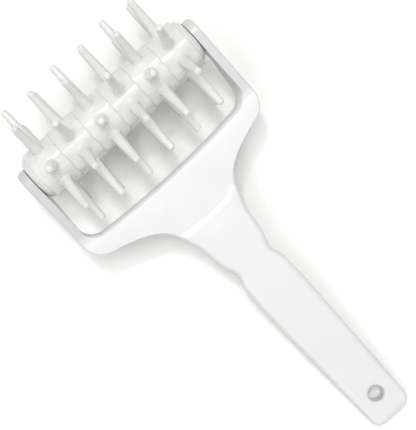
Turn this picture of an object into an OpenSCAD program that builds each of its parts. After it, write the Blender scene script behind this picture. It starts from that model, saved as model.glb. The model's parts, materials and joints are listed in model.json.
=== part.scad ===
// Dough docker: a spiked roller that turns on a rod held in a one-piece forked handle.
// It lies at rest as on a table: two rows of pin tips and the handle's end carry it.
// X runs along the roller, Y from the roller to the handle's end, Z up, and the table is Z = 0.

/* [Roller] */
// Distance from one ring of pins to the next, which is one ring's width
ring_pitch = 16.7; // [14:0.1:20]
// Distance from the flat of a ring's barrel to the roller's axis
barrel_flat_r = 13.6; // [12:0.1:15]
// Radius that rounds off the eight corners of a barrel
barrel_corner_r = 14.1; // [13.5:0.1:16]
// Rounding of a barrel's end edges, which makes the seam grooves
barrel_edge = 0.3; // [0.1:0.1:0.8]
// Distance from the roller's axis to the end of a pin
tip_r = 37.1; // [32:0.1:38]
// Radius of a pin near its end
pin_tip_r = 1.9; // [1.4:0.05:2.2]
// Rounding of a pin's blunt end
tip_round = 1.2; // [0.6:0.1:1.4]
// Radius of a pin where it leaves its root
pin_root_r = 2.8; // [2.2:0.05:3.2]
// Radius of the fillet between a pin and its barrel
root_fillet = 2; // [0.8:0.1:2.4]

/* [Core and axle] */
// Width across the flats of the six-sided core tube
core_flats = 14; // [13.6:0.2:16]
// Clearance between the core tube and the holes of the rings, on each side
core_clearance = 0.05; // [0.02:0.01:0.2]
// Radius of the axle rod
rod_r = 3; // [2.5:0.1:4]
// Running clearance between the axle rod and the core tube, on the radius
running_clearance = 0.08; // [0.03:0.01:0.1]
// Depth that each end of the rod sits in its arm
socket_depth = 3.2; // [2:0.1:3.6]
// Radius of the round ends of the core tube that the collars sit on
spigot_r = 6.6; // [5:0.1:6.6]
// Width of an end collar
collar_w = 3.8; // [3:0.1:5]
// Radius of an end collar at the face towards the rings
collar_inner_r = 12.6; // [11:0.1:13]
// Radius of an end collar at the face towards the arm
collar_outer_r = 8.6; // [7:0.1:10]
// Gap between each collar and its arm
side_play = 0.4; // [0.4:0.1:2]
// Running gap between each end of the core tube and its arm
end_play = 0.2; // [0.1:0.05:0.4]

/* [Fork] */
// Thickness of each arm
arm_t = 4.8; // [4.2:0.1:6]
// Radius of the arms' round tips about the axle
arm_tip_r = 8.8; // [7:0.1:10]
// Rounding of the arms' outer corners at their tips, seen from above
arm_corner_r = 2.6; // [1:0.1:3.5]
// Distance from the axle to the front edge of the crossbar's top face
crossbar_y = 46.4; // [44:0.1:47]
// Distance that the crossbar's front edge bows towards the grip in the middle
crossbar_bow = 2.1; // [0:0.1:3]
// Distance that the crossbar's rounded front stands out towards the roller under its top face
front_round = 3.1; // [1:0.1:4]
// Distance that the left arm's inner wall leans in at the crossbar
left_lean = 2.2; // [0:0.1:3]
// Distance that the right arm's inner wall leans in at the crossbar, or out if less than nothing
right_lean = -0.8; // [-1.5:0.1:3]
// Radius of the window's two corners
window_corner_r = 9.5; // [4:0.5:11]
// Distance from the axle to the rear edge of the shoulders
shoulder_y = 52.4; // [50:0.1:56]
// Radius of the shoulders' outer corners
shoulder_r = 12; // [4:0.5:14]
// Distance from the axle to where the arms' slopes run out
slope_end_y = 41.8; // [38:0.2:44]
// Height of the small step from each arm up to the crossbar
arm_step = 0.4; // [0.1:0.1:1]
// Half of the crossbar's thickness
plate_half_t = 4.6; // [4:0.1:6]

/* [Grip] */
// Distance from the axle to the end of the grip
grip_end_y = 215; // [200:0.2:230]
// Half of the neck's width where the flare has run out
neck_half_w = 14.4; // [13:0.1:16]
// Length over which the flare of the neck falls to about a third
flare_length = 8.8; // [7:0.1:10]
// Swelling of the neck beside the step, on each side
neck_swell = 1; // [0:0.1:2]
// Distance from the axle to the step where the grip begins
step_y = 69.8; // [66:0.2:74]
// Height of that step
step_h = 0.6; // [0.3:0.1:1.2]
// Distance that the step bows towards the grip in the middle
step_bow = 1.4; // [0:0.1:2]
// Distance from the axle to the widest place before the finger notches
stop_y = 93.5; // [90:0.5:95]
// Distance from the axle to the finger notches
notch_y = 105.8; // [103:0.2:108]
// Half of the grip's width at the finger notches
notch_half_w = 11.1; // [10:0.1:12]
// Distance from the axle to the shoulders behind the finger notches
palm_y = 113.4; // [112:0.2:116]
// Half of the grip's width behind the finger notches
palm_half_w = 13.3; // [12:0.1:15]
// Distance from the axle to the widest place of the palm
belly_y = 127; // [122:1:135]
// Half of the grip's width at the widest place of the palm
belly_half_w = 13.8; // [13:0.1:16]
// Half of the grip's width near its end
end_half_w = 11.9; // [11:0.1:14]
// Radius of the corners at the grip's end
end_corner_r = 5.5; // [3:0.5:8]
// Half of the grip's thickness at the palm
grip_half_t = 6; // [5:0.1:7]
// Half of the grip's thickness at its end
end_half_t = 4.4; // [3.5:0.1:5]

/* [Hanging hole] */
// Distance from the axle to the middle of the hanging hole
hole_y = 199.6; // [192:0.2:204]
// Radius of the hanging hole
hole_r = 4.2; // [3.5:0.1:5]
// Rounding of the hanging hole's two rims
rim_round = 1.5; // [0.5:0.1:2]

/* [Hidden] */

ring_count = 6;
pins_per_ring = 8;
pin_spacing = 360 / pins_per_ring;
row_spacing = pin_spacing / 2;
round_steps = 48;
// Shapes that cut others reach this far past them.
past = 1;

// The two lowest rows of tips lie half a row spacing to each side of the axle.
rest_angle = row_spacing / 2;
tip_flat_r = pin_tip_r - tip_round;
axle_h = (tip_r - tip_round) * cos(rest_angle) + tip_flat_r * sin(rest_angle) + tip_round;

stack_w = ring_count * ring_pitch;
collar_face_x = stack_w / 2 + collar_w;
core_half_l = collar_face_x + side_play - end_play;
arm_inner_x = collar_face_x + side_play;
arm_outer_x = arm_inner_x + arm_t;

// The grip's end is rounded over this length, and there it drops this much less than a round arc.
end_round = 3;
end_flatness = 0.6;
end_round_y = grip_end_y - end_round;

// The handle tilts until the lowest point of that rounding touches the table.
function tilt_onto(y, z) = asin(axle_h / norm([y, z])) - atan2(z, y);
rough_tilt = tilt_onto(end_round_y, end_half_t);
touch_turn = atan(tan(rough_tilt) / end_flatness);
touch_y = end_round_y + end_round * sin(touch_turn);
touch_half_t = end_half_t - end_flatness * end_round * (1 - cos(touch_turn));
handle_tilt = tilt_onto(touch_y, touch_half_t);

// The part is centred on its bounding box along Y.
end_cap_half_t = end_half_t - end_flatness * end_round;
front_y = -axle_h;
rear_y = grip_end_y * cos(handle_tilt) + end_cap_half_t * sin(handle_tilt);
axle_y = -(front_y + rear_y) / 2;

function smooth(t) = let (c = min(1, max(0, t))) c * c * (3 - 2 * c);
function blend(a, b, y0, y1, y) = a + (b - a) * smooth((y - y0) / (y1 - y0));
function line(a, b, y0, y1, y) = a + (b - a) * min(1, max(0, (y - y0) / (y1 - y0)));
function arc_drop(r, d) = r - sqrt(max(0, r * r - d * d));

// Half of the outline's width at a distance y from the axle.
function half_width(y) =
    y < arm_corner_r - arm_tip_r ? arm_outer_x - arc_drop(arm_corner_r, arm_corner_r - arm_tip_r - y)
    : y < shoulder_start_y ? arm_outer_x
    : y < shoulder_y ? arm_outer_x - arc_drop(shoulder_r, y - shoulder_start_y)
    : y < palm_y ? neck_width(y)
    : y < belly_y ? blend(palm_half_w, belly_half_w, palm_y, belly_y, y)
    : line(belly_half_w, end_half_w, belly_y, grip_end_y - end_corner_r, y)
        - arc_drop(end_corner_r, max(0, y - grip_end_y + end_corner_r));

// The shoulders' rounding turns until it meets the slant of the neck's flare.
shoulder_turn = 76;
shoulder_start_y = shoulder_y - shoulder_r * sin(shoulder_turn);
flare_w = arm_outer_x - shoulder_r * (1 - cos(shoulder_turn)) - neck_half_w;
swell_y = step_y + 3.7;
swell_reach = 12;
function neck_width(y) =
    y < stop_y ? neck_half_w + flare_w * exp(-(y - shoulder_y) / flare_length)
        + neck_swell * smooth(1 - abs(y - swell_y) / swell_reach)
    : y < notch_y ? blend(neck_half_w, notch_half_w, stop_y, notch_y, y)
    : blend(notch_half_w, palm_half_w, notch_y, palm_y, y);

// Length along Y of the arms' steps and of the grip's step.
step_run = 0.9;

// Half of the thickness: arm tips, slopes and steps to the crossbar, grip and end.
function half_thickness(y) =
    y < 0 ? sqrt(max(0, arm_tip_r * arm_tip_r - y * y))
    : y < slope_end_y ? line(arm_tip_r, plate_half_t - arm_step, 0, slope_end_y, y)
    : y < slope_end_y + step_run ? plate_half_t - arm_step * line(1, 0, slope_end_y, slope_end_y + step_run, y)
    : y < belly_y ? blend(plate_half_t, grip_half_t, step_y, belly_y, y)
    : line(grip_half_t, end_half_t, belly_y, end_round_y, y)
        - end_flatness * arc_drop(end_round, max(0, y - end_round_y));

// The grip's step lifts only its top, and the rise runs out towards the end.
function top_rise(y) = step_h * line(0, 1, step_y, step_y + step_run, y) * line(1, 0, belly_y, grip_end_y, y);

// Rounding of the long edges at the arms' tips, along the arms, along the grip and at its end.
tip_edge = 0.5;
arm_edge = 1.2;
grip_edge = 2.8;
end_edge = 2.2;
function edge_round(y) =
    y < shoulder_y ? line(tip_edge, arm_edge, -arm_tip_r, -arm_tip_r / 2, y)
    : y < stop_y ? blend(arm_edge, grip_edge, shoulder_y, stop_y, y)
    : line(grip_edge, end_edge, end_round_y, grip_end_y, y);

// Sorts places and keeps only one of those that are closer together than this.
least_gap = 0.1;
function sorted(v) =
    len(v) < 2 ? v
    : concat(
        sorted([for (k = [1 : len(v) - 1]) if (v[k] < v[0] - least_gap) v[k]]),
        [v[0]],
        sorted([for (k = [1 : len(v) - 1]) if (v[k] > v[0] + least_gap) v[k]])
    );

// Places along Y where the outline changes, closer together on the round stretches.
arc_steps = 8;
coarse_steps = 4;
fine_steps = 7;
flare_steps = 12;
flare_crowding = 1.3;
first_angle = 4;
function spread(y0, y1, steps) = [for (k = [1 : steps]) y0 + (y1 - y0) * k / steps];
stations = sorted(concat(
    [for (k = [0 : arc_steps]) -arm_tip_r * cos(first_angle + (90 - first_angle) * k / arc_steps)],
    spread(0, slope_end_y, coarse_steps),
    [slope_end_y + step_run],
    [for (k = [0 : arc_steps]) shoulder_start_y + shoulder_r * sin(shoulder_turn * k / arc_steps)],
    [for (k = [1 : flare_steps]) shoulder_y + (step_y - shoulder_y) * pow(k / flare_steps, flare_crowding)],
    [step_y + step_run],
    spread(step_y + step_run, stop_y, fine_steps),
    spread(stop_y, notch_y, fine_steps),
    spread(notch_y, palm_y, fine_steps),
    spread(palm_y, belly_y, coarse_steps),
    spread(belly_y, grip_end_y - end_corner_r, coarse_steps),
    [for (k = [1 : arc_steps]) grip_end_y - end_corner_r + end_corner_r * sin(90 * k / arc_steps)]
));

// The sections bow towards the grip around the step, and the step fades in their middle.
bow_reach = 12;
step_fade = 0.5;
function bow(y, across) = step_bow * (1 - across * across) * smooth(1 - abs(y - step_y) / bow_reach);
function fade(y, across) = 1 - step_fade * (1 - across * across) * smooth(1 - (y - step_y) / bow_reach);

// Points around a section: rounded corners, and a few points across the top between them.
// A rounding takes no more than this share of half the thickness.
corner_steps = 4;
top_steps = 6;
round_share = 0.95;
function section(y) =
    let (t = half_thickness(y), rise = top_rise(y), r = min(edge_round(y), t * round_share))
    let (flat_w = half_width(y) - r)
    concat(
        corner_points(y, flat_w, t + rise - r, r, 0),
        [for (k = [1 : top_steps - 1]) let (across = 1 - 2 * k / top_steps)
            [flat_w * across, y + bow(y, across), t + rise * fade(y, across)]],
        corner_points(y, -flat_w, t + rise - r, r, 90),
        corner_points(y, -flat_w, r - t, r, 180),
        corner_points(y, flat_w, r - t, r, 270)
    );
function corner_points(y, x, z, r, start) =
    [for (k = [0 : corner_steps]) let (angle = start + 90 * k / corner_steps)
        [x + r * cos(angle), y, z + r * sin(angle)]];

// A solid through sections that all have the same number of points.
module loft(sections) {
    n = len(sections[0]);
    m = len(sections);
    faces = concat(
        [[for (j = [n - 1 : -1 : 0]) j]],
        [[for (j = [0 : n - 1]) (m - 1) * n + j]],
        [for (i = [0 : m - 2], j = [0 : n - 1]) let (k = (j + 1) % n)
            [i * n + j, i * n + k, (i + 1) * n + j]],
        [for (i = [0 : m - 2], j = [0 : n - 1]) let (k = (j + 1) % n)
            [(i + 1) * n + j, i * n + k, (i + 1) * n + k]]
    );
    polyhedron(points = [for (s = sections) each s], faces = faces);
}

// Moves from the handle's own frame, with the axle at its origin, to its place at rest.
module at_rest() {
    translate([0, axle_y, axle_h]) rotate([-handle_tilt, 0, 0]) children();
}

// Moves from the roller's own frame, with Z along the axle, to its place at rest.
module on_axle() {
    translate([0, axle_y, axle_h]) rotate([0, 90, 0]) children();
}

// The window's outline at one height, drawn in at the left, at the right and at the crossbar.
// The arms' inner faces stay flat beside the roller's ends and lean in only from there on.
flat_end_y = arm_tip_r + 6;
bow_steps = 6;
function window_section(left, right, front, z) =
    let (open_y = -2 * arm_tip_r, left_x = arm_inner_x - left, right_x = arm_inner_x - right)
    concat(
        [[-arm_inner_x, open_y, z], [-arm_inner_x, flat_end_y, z]],
        [for (p = window_side(left_x, front)) [-p[0], p[1], z]],
        [for (p = reversed(window_side(right_x, front))) [p[0], p[1], z]],
        [[arm_inner_x, flat_end_y, z], [arm_inner_x, open_y, z]]
    );

// One corner of the window and half of the crossbar's bowed front, from the arm to the middle.
function window_side(wall_x, front) =
    let (turn = atan(2 * crossbar_bow / (wall_x - window_corner_r)))
    let (end_x = wall_x - window_corner_r * (1 - sin(turn)))
    let (centre_y = crossbar_y - front - crossbar_bow - window_corner_r * cos(turn))
    concat(
        [for (k = [0 : arc_steps]) let (angle = (90 - turn) * k / arc_steps)
            [wall_x - window_corner_r * (1 - cos(angle)), centre_y + window_corner_r * sin(angle)]],
        [for (k = [bow_steps - 1 : -1 : 1]) let (part = k / bow_steps)
            [end_x * part, crossbar_y - front - crossbar_bow * part * part]]
    );
function reversed(v) = [for (k = [len(v) - 1 : -1 : 0]) v[k]];

// The walls lean from the underside to the plate's top, and the crossbar's front is a quarter of an oval
// that takes up this share of the plate's thickness.
front_share = 0.9;
module window() {
    tall = arm_tip_r + 2 * past;
    front_steps = 6;
    front_h = 2 * plate_half_t * front_share;
    loft(concat(
        [window_section(left_lean, right_lean, front_round, -tall)],
        [window_section(left_lean, right_lean, front_round, -plate_half_t)],
        [for (k = [0 : front_steps]) let (angle = 90 * k / front_steps)
            let (depth = front_h * (1 - sin(angle)), lean = depth / (2 * plate_half_t))
            let (front = front_round * cos(angle))
            window_section(left_lean * lean, right_lean * lean, front, plate_half_t - depth)],
        [window_section(0, 0, 0, tall)]
    ));
}

module handle_frame() {
    color("white") at_rest() difference() {
        loft([for (y = stations) section(y)]);
        window();
        socket_half_x = arm_inner_x + socket_depth;
        translate([-socket_half_x, 0, 0]) rotate([0, 90, 0])
            cylinder(r = rod_r, h = 2 * socket_half_x, $fn = round_steps);
        hanging_hole();
    }
}

hole_half_t = line(grip_half_t, end_half_t, belly_y, end_round_y, hole_y);
hole_top = hole_half_t + top_rise(hole_y);
rim_steps = 4;
module hanging_hole() {
    rim = [for (k = [0 : rim_steps]) let (a = 90 * k / rim_steps)
        [hole_r + rim_round * (1 - cos(a)), rim_round * sin(a)]];
    lower = [for (k = [rim_steps : -1 : 0]) [rim[k][0], rim_round - hole_half_t - rim[k][1]]];
    upper = [for (p = rim) [p[0], hole_top - rim_round + p[1]]];
    translate([0, hole_y, 0]) rotate_extrude($fn = round_steps) polygon(concat(
        [[0, -hole_half_t - past], [hole_r + rim_round, -hole_half_t - past]],
        lower,
        upper,
        [[hole_r + rim_round, hole_top + past], [0, hole_top + past]]
    ));
}

module axle_rod() {
    half_l = arm_inner_x + socket_depth;
    color("gainsboro") on_axle() translate([0, 0, -half_l])
        cylinder(r = rod_r, h = 2 * half_l, $fn = round_steps);
}

// A six-sided tube that keys the rings together, with round ends for the collars.
module core_tube() {
    bore_r = rod_r + running_clearance;
    color("whitesmoke") on_axle() difference() {
        union() {
            translate([0, 0, -stack_w / 2]) cylinder(r = core_flats / 2 / cos(30), h = stack_w, $fn = 6);
            translate([0, 0, -core_half_l]) cylinder(r = spigot_r, h = 2 * core_half_l, $fn = round_steps);
        }
        translate([0, 0, -core_half_l - past])
            cylinder(r = bore_r, h = 2 * (core_half_l + past), $fn = round_steps);
    }
}

// A domed collar, flat where it meets the rings and where it faces the arm.
module collar() {
    dome_steps = 6;
    dome = [for (k = [0 : dome_steps]) let (a = 90 * k / dome_steps)
        [collar_outer_r + (collar_inner_r - collar_outer_r) * cos(a), collar_w * sin(a)]];
    rotate_extrude($fn = round_steps) polygon(concat([[spigot_r, 0]], dome, [[spigot_r, collar_w]]));
}

module left_collar() {
    color("white") on_axle() translate([0, 0, -stack_w / 2]) mirror([0, 0, 1]) collar();
}

module right_collar() {
    color("white") on_axle() translate([0, 0, stack_w / 2]) collar();
}

// One pin, standing along Z from the axle: fillet at the barrel, slight taper, blunt rounded end.
module pin() {
    root_depth = 1.5;
    fillet_depth = 0.1;
    start = barrel_flat_r - root_depth;
    fillet_steps = 5;
    tip_steps = 4;
    pin_steps = 24;
    fillet = [for (k = [0 : fillet_steps]) let (a = 90 * k / fillet_steps)
        [pin_root_r + root_fillet * (1 - sin(a)), barrel_flat_r - fillet_depth + root_fillet * (1 - cos(a))]];
    tip = [for (k = [0 : tip_steps]) let (a = 90 * k / tip_steps)
        [tip_flat_r + tip_round * cos(a), tip_r - tip_round + tip_round * sin(a)]];
    rotate_extrude($fn = pin_steps)
        polygon(concat([[0, start], [pin_root_r + root_fillet, start]], fillet, tip, [[0, tip_r]]));
}

// An eight-sided barrel with rounded corners and end edges, and a pin on each flat.
module ring_body(phase) {
    difference() {
        union() {
            intersection() {
                rotate([0, 0, phase]) translate([0, 0, -ring_pitch / 2]) rotate([0, 0, row_spacing])
                    cylinder(r = barrel_flat_r / cos(row_spacing), h = ring_pitch, $fn = pins_per_ring);
                barrel_envelope();
            }
            for (k = [0 : pins_per_ring - 1])
                rotate([0, 0, phase + pin_spacing * k]) rotate([0, 90, 0]) pin();
        }
        translate([0, 0, -ring_pitch / 2 - past])
            cylinder(r = (core_flats / 2 + core_clearance) / cos(30), h = ring_pitch + 2 * past, $fn = 6);
    }
}

module barrel_envelope() {
    half_w = ring_pitch / 2;
    edge_steps = 2;
    edge = [for (k = [0 : edge_steps]) let (a = 90 * k / edge_steps)
        [barrel_corner_r - barrel_edge * (1 - cos(a)), half_w - barrel_edge * (1 - sin(a))]];
    rotate_extrude($fn = round_steps) polygon(concat(
        [[0, -half_w]],
        [for (p = reversed(edge)) [p[0], -p[1]]],
        edge,
        [[0, half_w]]
    ));
}

// Even rings are turned by half a pin spacing from the odd ones.
module pin_ring(number) {
    even = number % 2 == 0;
    phase = 180 - rest_angle - (even ? 0 : row_spacing);
    color("white") on_axle() translate([0, 0, (number - (ring_count + 1) / 2) * ring_pitch]) ring_body(phase);
}

handle_frame();
axle_rod();
core_tube();
left_collar();
right_collar();
pin_ring(1);  // pin_ring_1
pin_ring(2);  // pin_ring_2
pin_ring(3);  // pin_ring_3
pin_ring(4);  // pin_ring_4
pin_ring(5);  // pin_ring_5
pin_ring(6);  // pin_ring_6
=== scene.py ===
"""Dough docker on a white table, seen from nearly straight above."""

import json
import math

import bpy
from mathutils import Matrix, Vector


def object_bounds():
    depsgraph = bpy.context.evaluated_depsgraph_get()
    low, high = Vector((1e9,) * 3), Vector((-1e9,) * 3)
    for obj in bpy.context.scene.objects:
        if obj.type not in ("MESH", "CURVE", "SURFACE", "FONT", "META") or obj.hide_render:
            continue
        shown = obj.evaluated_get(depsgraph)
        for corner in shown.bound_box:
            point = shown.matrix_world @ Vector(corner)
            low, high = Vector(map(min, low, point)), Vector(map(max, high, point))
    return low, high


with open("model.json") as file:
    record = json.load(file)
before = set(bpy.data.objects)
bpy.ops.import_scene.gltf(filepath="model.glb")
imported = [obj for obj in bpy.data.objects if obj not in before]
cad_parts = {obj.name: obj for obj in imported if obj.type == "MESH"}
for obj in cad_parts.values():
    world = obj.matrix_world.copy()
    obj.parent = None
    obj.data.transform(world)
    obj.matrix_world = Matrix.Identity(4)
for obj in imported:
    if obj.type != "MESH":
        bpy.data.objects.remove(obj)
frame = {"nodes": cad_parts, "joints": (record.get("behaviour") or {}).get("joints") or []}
CAD_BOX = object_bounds()

RINGS = ["pin_ring_%d" % number for number in range(1, 7)]
COLLARS = ["left_collar", "right_collar"]

# The axle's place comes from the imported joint. The arms are the widest part of the object.
AXLE = Vector(frame["joints"][0]["pos_m"])
HALF_WIDTH = CAD_BOX[1][0]

# The camera stands over the grip's neck and leans a little towards the roller (metres).
CAMERA_HEIGHT = 0.5733
CAMERA_PAST_AXLE = 0.1081
CAMERA_SIDE = 0.00485
AIM_PAST_AXLE = 0.0695
AIM_SIDE = 0.00105
PICTURE_TURN = math.radians(42.72)
LENS_MM = 89.5
SENSOR_MM = 36.0

# How much of a colour's warmth goes to its red.
RED_SHARE = 0.4

# White plastic: how it bends light, and how far light spreads inside it (metres, and a share per colour).
PLASTIC_IOR = 1.47
GLOW_SPREAD = 0.0015
GLOW_COLOURS = (1.0, 0.97, 0.92)

# The plastic's flow marks (per metre), the part of their range that the colour runs over, and how much
# smoother and rougher they make the surface.
FLOW_MARKS = 28.0
FLOW_RAMP = (0.3, 0.7)
SMOOTHER_BY = 0.04
ROUGHER_BY = 0.05

# The plastic's fine grain (marks per metre), and its bumps' depths and its soft edges' radius (metres).
GRAIN_MARKS = 1400.0
GRAIN_DEPTH = 0.00005
RIPPLE_DEPTH = 0.0003
EDGE_RADIUS = 0.0003
EDGE_SAMPLES = 6

# Painted shade on the handle's thin arms: their colour is darkened against the plate to stand in for the
# shade they get.
# The darkening grows outwards from the first X to the second, and towards the roller from the first Y to the
# second.
# In the picture the left arm is the one at +X, and it is darkened most.
ARM_START_X = HALF_WIDTH - 0.0091
ARM_FULL_X = HALF_WIDTH - 0.0056
ARM_START_Y = AXLE.y + 0.0420
ARM_FULL_Y = AXLE.y + 0.0350
RIGHT_ARM_SHADE_KEEPS = 0.86
LEFT_ARM_SHADE_KEEPS = 0.79

# Painted shade: the handle's side walls are darkened in colour against its top, standing in for the shade
# they get.
# How much of the colour they keep, and how upright the surface normal is on a wall and on the top.
SIDE_SHADE_KEEPS = 0.92
SIDE_NORMAL_Z = 0.15
TOP_NORMAL_Z = 0.75

# The rod's steel: marks per metre along and across it, and its darkest and lightest greys and roughness.
STEEL_MARKS = (3000.0, 60.0, 60.0)
STEEL_GREYS = (0.5, 0.68)
STEEL_ROUGHNESS = (0.25, 0.45)

# The table (metres): its grey where it throws light back on the object, and the extra white in the picture.
TABLE_HALF = 0.6
TABLE_GREY = 0.62
TABLE_GAIN = 0.10
TABLE_WARMTH = 0.010

# The lamps hang on a sphere around the object, and all aim at one point over the table (metres).
LAMP_DISTANCE = 2.5
LAMP_AIM = Vector((0, 0, 0.02))

# The dome's colour, and the power that narrows its brighter cap overhead.
DOME_WHITE = 1.015
DOME_WARMTH = 0.015
CAP_POWER = 8.0

# Corners nearer than this (metres) are joined, and edges that turn by less than this are shaded smooth.
JOIN_WITHIN = 0.000002
SMOOTH_DEGREES = 33

# The inputs and the output for colours have no names of their own on a mix node, only numbers.
MIX_SHARE = 0
MIX_FIRST = 6
MIX_SECOND = 7
MIX_RESULT = 2


def colour(grey, warmth=0.0):
    """A grey that is made warmer by taking from its blue and adding a part of that to its red."""
    return (grey + RED_SHARE * warmth, grey, grey - warmth, 1.0)


class Graph:
    """The shader nodes of a material or of the world."""

    def __init__(self, owner):
        owner.use_nodes = True
        self.tree = owner.node_tree
        self.tree.nodes.clear()

    def feed(self, socket, value):
        """Links a socket to the output of another node, or sets it where the value is a constant."""
        if isinstance(value, bpy.types.NodeSocket):
            self.tree.links.new(value, socket)
        else:
            socket.default_value = value

    def add(self, kind, **sockets):
        """A new node. Each keyword names one of its sockets, with an underscore for a space."""
        node = self.tree.nodes.new(kind)
        for name, value in sockets.items():
            self.feed(node.inputs[name.replace("_", " ")], value)
        return node

    def math(self, operation, *values):
        """The result of a calculation."""
        node = self.tree.nodes.new("ShaderNodeMath")
        node.operation = operation
        for number, value in enumerate(values):
            self.feed(node.inputs[number], value)
        return node.outputs["Value"]

    def remap(self, value, start, end, low=0.0, high=1.0, smooth=False):
        """Goes from low to high while the value goes from start to end."""
        node = self.add("ShaderNodeMapRange", Value=value, From_Min=start, From_Max=end)
        self.feed(node.inputs["To Min"], low)
        self.feed(node.inputs["To Max"], high)
        if smooth:
            node.interpolation_type = "SMOOTHSTEP"
        return node.outputs["Result"]

    def noise(self, place, marks, detail, roughness):
        """Smooth random marks, given per metre."""
        node = self.add("ShaderNodeTexNoise", Vector=place, Scale=marks, Detail=detail, Roughness=roughness)
        return node.outputs["Fac"]

    def ramp(self, value, low, high, start=0.0, end=1.0):
        """A colour that goes from low to high while the value goes from start to end."""
        node = self.add("ShaderNodeValToRGB", Fac=value)
        first, last = node.color_ramp.elements
        first.position = start
        first.color = low
        last.position = end
        last.color = high
        return node.outputs["Color"]

    def mix(self, share, first, second, blend="MIX"):
        """Two colours mixed, or one multiplied by the other."""
        node = self.tree.nodes.new("ShaderNodeMix")
        node.data_type = "RGBA"
        node.blend_type = blend
        self.feed(node.inputs[MIX_SHARE], share)
        self.feed(node.inputs[MIX_FIRST], first)
        self.feed(node.inputs[MIX_SECOND], second)
        return node.outputs[MIX_RESULT]

    def bump(self, normal, height, strength, depth):
        """A surface normal that leans with the slope of a height."""
        node = self.add("ShaderNodeBump", Normal=normal, Height=height, Strength=strength, Distance=depth)
        return node.outputs["Normal"]


def painted_side_shade(graph, normal, paint):
    """The paint with painted shade: darker on walls that face sideways."""
    facing = graph.add("ShaderNodeSeparateXYZ", Vector=normal).outputs
    upright = graph.math("ABSOLUTE", facing["Z"])
    on_top = graph.remap(upright, SIDE_NORMAL_Z, TOP_NORMAL_Z, smooth=True)
    keeps = graph.mix(on_top, colour(SIDE_SHADE_KEEPS), colour(1.0))
    return graph.mix(1.0, paint, keeps, "MULTIPLY")


def painted_arm_shade(graph, position, paint):
    """The paint with painted shade: darker on the thin arms, and most on the picture's left one, which is at
    +X.
    """
    at = graph.add("ShaderNodeSeparateXYZ", Vector=position).outputs
    from_middle = graph.math("ABSOLUTE", at["X"])
    outwards = graph.remap(from_middle, ARM_START_X, ARM_FULL_X, smooth=True)
    past_crossbar = graph.remap(at["Y"], ARM_START_Y, ARM_FULL_Y, smooth=True)
    on_arm = graph.math("MULTIPLY", outwards, past_crossbar)
    kept = graph.remap(at["X"], -ARM_FULL_X, ARM_FULL_X, RIGHT_ARM_SHADE_KEEPS, LEFT_ARM_SHADE_KEEPS)
    grey = graph.add("ShaderNodeCombineColor", Red=kept, Green=kept, Blue=kept)
    return graph.mix(on_arm, paint, grey.outputs["Color"], "MULTIPLY")


def moulded_plastic(name, greys, warmth, roughness, grain, glow, ripples, swell, arms=False):
    """White moulded plastic: faint flow marks, a fine grain, soft ripples and edges, and a little glow."""
    material = bpy.data.materials.new(name)
    graph = Graph(material)
    place = graph.add("ShaderNodeTexCoord").outputs

    flow = graph.noise(place["Object"], FLOW_MARKS, detail=3.0, roughness=0.55)
    paint = graph.ramp(flow, colour(greys[0], warmth), colour(greys[1], warmth), *FLOW_RAMP)
    if arms:
        # Painted shade: sideways walls darkened in the colour.
        paint = painted_side_shade(graph, place["Normal"], paint)
        # Painted shade: the thin arms darkened in the colour.
        paint = painted_arm_shade(graph, place["Object"], paint)
    polish = graph.remap(flow, 0.0, 1.0, roughness - SMOOTHER_BY, roughness + ROUGHER_BY)

    edges = graph.add("ShaderNodeBevel", Radius=EDGE_RADIUS)
    edges.samples = EDGE_SAMPLES
    waves = graph.noise(place["Object"], ripples, detail=1.0, roughness=0.5)
    rippled = graph.bump(edges.outputs["Normal"], waves, swell, RIPPLE_DEPTH)
    fine = graph.noise(place["Object"], GRAIN_MARKS, detail=2.0, roughness=0.6)
    grained = graph.bump(rippled, fine, grain, GRAIN_DEPTH)

    shader = graph.add("ShaderNodeBsdfPrincipled", Base_Color=paint, Roughness=polish, Normal=grained,
                       IOR=PLASTIC_IOR, Subsurface_Weight=glow, Subsurface_Scale=GLOW_SPREAD,
                       Subsurface_Radius=GLOW_COLOURS)
    graph.add("ShaderNodeOutputMaterial", Surface=shader.outputs["BSDF"])
    return material


def drawn_steel(name):
    """Bright drawn bar with fine lines around it."""
    material = bpy.data.materials.new(name)
    graph = Graph(material)
    place = graph.add("ShaderNodeTexCoord").outputs["Object"]
    stretched = graph.add("ShaderNodeMapping", Vector=place, Scale=STEEL_MARKS).outputs["Vector"]
    lines = graph.noise(stretched, marks=1.0, detail=4.0, roughness=0.6)
    paint = graph.ramp(lines, colour(STEEL_GREYS[0]), colour(STEEL_GREYS[1]))
    polish = graph.remap(lines, 0.0, 1.0, *STEEL_ROUGHNESS)
    shader = graph.add("ShaderNodeBsdfPrincipled", Metallic=1.0, Base_Color=paint, Roughness=polish)
    graph.add("ShaderNodeOutputMaterial", Surface=shader.outputs["BSDF"])
    return material


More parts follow.
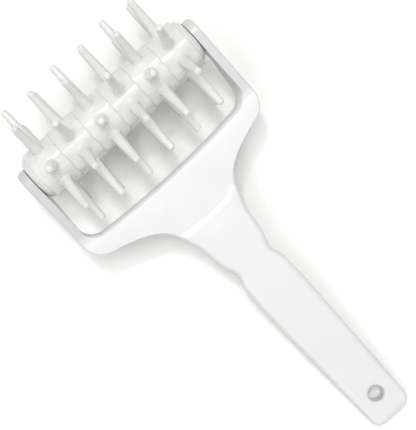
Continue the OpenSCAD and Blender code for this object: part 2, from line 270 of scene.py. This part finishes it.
def table_white(name):
    """A table that looks pure white where nothing shades it, and lights the object as a grey one does."""
    material = bpy.data.materials.new(name)
    graph = Graph(material)
    lit = graph.add("ShaderNodeBsdfDiffuse", Color=colour(TABLE_GREY))
    white = graph.add("ShaderNodeBsdfDiffuse", Color=colour(1.0))
    gain = graph.add("ShaderNodeBsdfDiffuse", Color=colour(TABLE_GAIN, TABLE_WARMTH))
    seen = graph.tree.nodes.new("ShaderNodeAddShader")
    graph.feed(seen.inputs[0], white.outputs["BSDF"])
    graph.feed(seen.inputs[1], gain.outputs["BSDF"])
    path = graph.add("ShaderNodeLightPath").outputs
    camera_or_gloss = graph.math("MAXIMUM", path["Is Camera Ray"], path["Is Glossy Ray"])
    looked_at = graph.math("MAXIMUM", camera_or_gloss, path["Is Transmission Ray"])
    pick = graph.add("ShaderNodeMixShader", Fac=looked_at)
    graph.feed(pick.inputs[1], lit.outputs["BSDF"])
    graph.feed(pick.inputs[2], seen.outputs["Shader"])
    graph.add("ShaderNodeOutputMaterial", Surface=pick.outputs["Shader"])
    return material


def dress(name, material):
    """Gives a CAD node its material."""
    node = frame["nodes"][name]
    node.data.materials.clear()
    node.data.materials.append(material)


def make_materials():
    """Dresses the handle, the roller, the hidden core tube and the rod."""
    # The handle's colour carries painted shade on its side walls and arms.
    handle = moulded_plastic("handle_white", greys=(0.868, 0.892), warmth=-0.002, roughness=0.22, grain=0.25,
                             glow=0.05, ripples=70.0, swell=0.25, arms=True)
    roller = moulded_plastic("roller_white", greys=(0.84, 0.875), warmth=0.012, roughness=0.13, grain=0.12,
                             glow=0.35, ripples=300.0, swell=0.45)
    core = moulded_plastic("core_white", greys=(0.76, 0.80), warmth=0.003, roughness=0.40, grain=0.20,
                           glow=0.05, ripples=70.0, swell=0.25)
    dress("handle_frame", handle)
    for name in RINGS + COLLARS:
        dress(name, roller)
    dress("core_tube", core)
    dress("axle_rod", drawn_steel("rod_steel"))


def smoothing(name, degrees):
    """A modifier that joins a node's faces and shades its gentle edges smooth."""
    tree = bpy.data.node_groups.new(name, "GeometryNodeTree")
    for side in ("INPUT", "OUTPUT"):
        tree.interface.new_socket("Geometry", in_out=side, socket_type="NodeSocketGeometry")
    start = tree.nodes.new("NodeGroupInput")
    end = tree.nodes.new("NodeGroupOutput")
    merge = tree.nodes.new("GeometryNodeMergeByDistance")
    merge.inputs["Distance"].default_value = JOIN_WITHIN
    plain = tree.nodes.new("GeometryNodeRemoveAttribute")
    plain.inputs["Name"].default_value = "custom_normal"
    faces = tree.nodes.new("GeometryNodeSetShadeSmooth")
    faces.domain = "FACE"
    edges = tree.nodes.new("GeometryNodeSetShadeSmooth")
    edges.domain = "EDGE"
    angle = tree.nodes.new("GeometryNodeInputMeshEdgeAngle")
    gentle = tree.nodes.new("FunctionNodeCompare")
    gentle.operation = "LESS_THAN"
    gentle.inputs["B"].default_value = math.radians(degrees)
    link = tree.links.new
    link(start.outputs["Geometry"], merge.inputs["Geometry"])
    link(merge.outputs["Geometry"], plain.inputs["Geometry"])
    link(plain.outputs["Geometry"], faces.inputs["Geometry"])
    link(faces.outputs["Geometry"], edges.inputs["Geometry"])
    link(angle.outputs["Unsigned Angle"], gentle.inputs["A"])
    link(gentle.outputs["Result"], edges.inputs["Shade Smooth"])
    link(edges.outputs["Geometry"], end.inputs["Geometry"])
    return tree


def smooth_nodes():
    """Smooth shading on every CAD node, with its real edges kept sharp."""
    tree = smoothing("smooth_by_angle", SMOOTH_DEGREES)
    for node in frame["nodes"].values():
        node.modifiers.new("smooth", "NODES").node_group = tree
        weighted = node.modifiers.new("weighted", "WEIGHTED_NORMAL")
        weighted.keep_sharp = True


def make_table():
    """A square table top at height 0."""
    half = TABLE_HALF
    mesh = bpy.data.meshes.new("table")
    corners = [(-half, -half, 0), (half, -half, 0), (half, half, 0), (-half, half, 0)]
    mesh.from_pydata(corners, [], [(0, 1, 2, 3)])
    table = bpy.data.objects.new("table", mesh)
    bpy.context.scene.collection.objects.link(table)
    mesh.materials.append(table_white("table_white"))


def picture_direction(right, up):
    """The direction on the table that points that way in the picture."""
    upwards = Vector((-math.sin(PICTURE_TURN), -math.cos(PICTURE_TURN), 0))
    rightwards = Vector((-math.cos(PICTURE_TURN), math.sin(PICTURE_TURN), 0))
    return rightwards * right + upwards * up


def make_camera():
    """The camera of the photograph, with the grip's end at the picture's lower right."""
    data = bpy.data.cameras.new("camera")
    data.lens = LENS_MM
    data.sensor_width = SENSOR_MM
    camera = bpy.data.objects.new("camera", data)
    place = Vector((AXLE.x + CAMERA_SIDE, AXLE.y + CAMERA_PAST_AXLE, CAMERA_HEIGHT))
    aim = Vector((AXLE.x + AIM_SIDE, AXLE.y + AIM_PAST_AXLE, 0))
    back = (place - aim).normalized()
    up = picture_direction(0, 1)
    up = (up - back * up.dot(back)).normalized()
    right = up.cross(back)
    camera.matrix_world = Matrix.Translation(place) @ Matrix((right, up, back)).transposed().to_4x4()
    bpy.context.scene.collection.objects.link(camera)
    bpy.context.scene.camera = camera


def make_light(name, azimuth, elevation, size, power):
    """A round soft lamp. Its azimuth turns anticlockwise in the picture, from the picture's right."""
    turn = math.radians(azimuth)
    rise = math.radians(elevation)
    reach = LAMP_DISTANCE * math.cos(rise)
    data = bpy.data.lights.new(name, "AREA")
    data.shape = "DISK"
    data.size = size
    data.energy = power
    light = bpy.data.objects.new(name, data)
    flat = picture_direction(reach * math.cos(turn), reach * math.sin(turn))
    light.location = flat + Vector((0, 0, LAMP_DISTANCE * math.sin(rise)))
    aim = LAMP_AIM - light.location
    light.rotation_mode = "QUATERNION"
    light.rotation_quaternion = aim.to_track_quat("-Z", "Y")
    bpy.context.scene.collection.objects.link(light)


def make_lights():
    """The lamps of the studio: degrees, metres across and watts."""
    make_light("top", azimuth=80, elevation=86, size=0.8, power=11.2)
    make_light("key", azimuth=115, elevation=72, size=0.3, power=9.0)
    make_light("left", azimuth=180, elevation=62, size=1.0, power=4.4)
    make_light("front", azimuth=240, elevation=65, size=0.8, power=4.0)
    make_light("right", azimuth=50, elevation=60, size=0.8, power=3.2)
    make_light("low", azimuth=270, elevation=45, size=0.8, power=3.5)
    make_light("far", azimuth=30, elevation=40, size=0.8, power=1.0)


def make_world(dome, overhead):
    """A plain studio dome, brighter straight overhead. The camera sees plain white in its place."""
    world = bpy.data.worlds.new("studio")
    bpy.context.scene.world = world
    graph = Graph(world)
    direction = graph.add("ShaderNodeTexCoord").outputs["Generated"]
    height = graph.add("ShaderNodeSeparateXYZ", Vector=direction).outputs["Z"]
    above = graph.math("MAXIMUM", height, 0.0)
    cap = graph.math("POWER", above, CAP_POWER)
    strength = graph.math("MULTIPLY_ADD", cap, overhead, dome)
    path = graph.add("ShaderNodeLightPath").outputs
    seen = graph.math("MAXIMUM", path["Is Camera Ray"], strength)
    sky = graph.add("ShaderNodeBackground", Color=colour(DOME_WHITE, DOME_WARMTH), Strength=seen)
    graph.add("ShaderNodeOutputWorld", Surface=sky.outputs["Background"])


make_materials()
smooth_nodes()
make_table()
make_camera()
make_lights()
make_world(dome=0.385, overhead=0.5)
bpy.context.scene.view_settings.view_transform = "Standard"
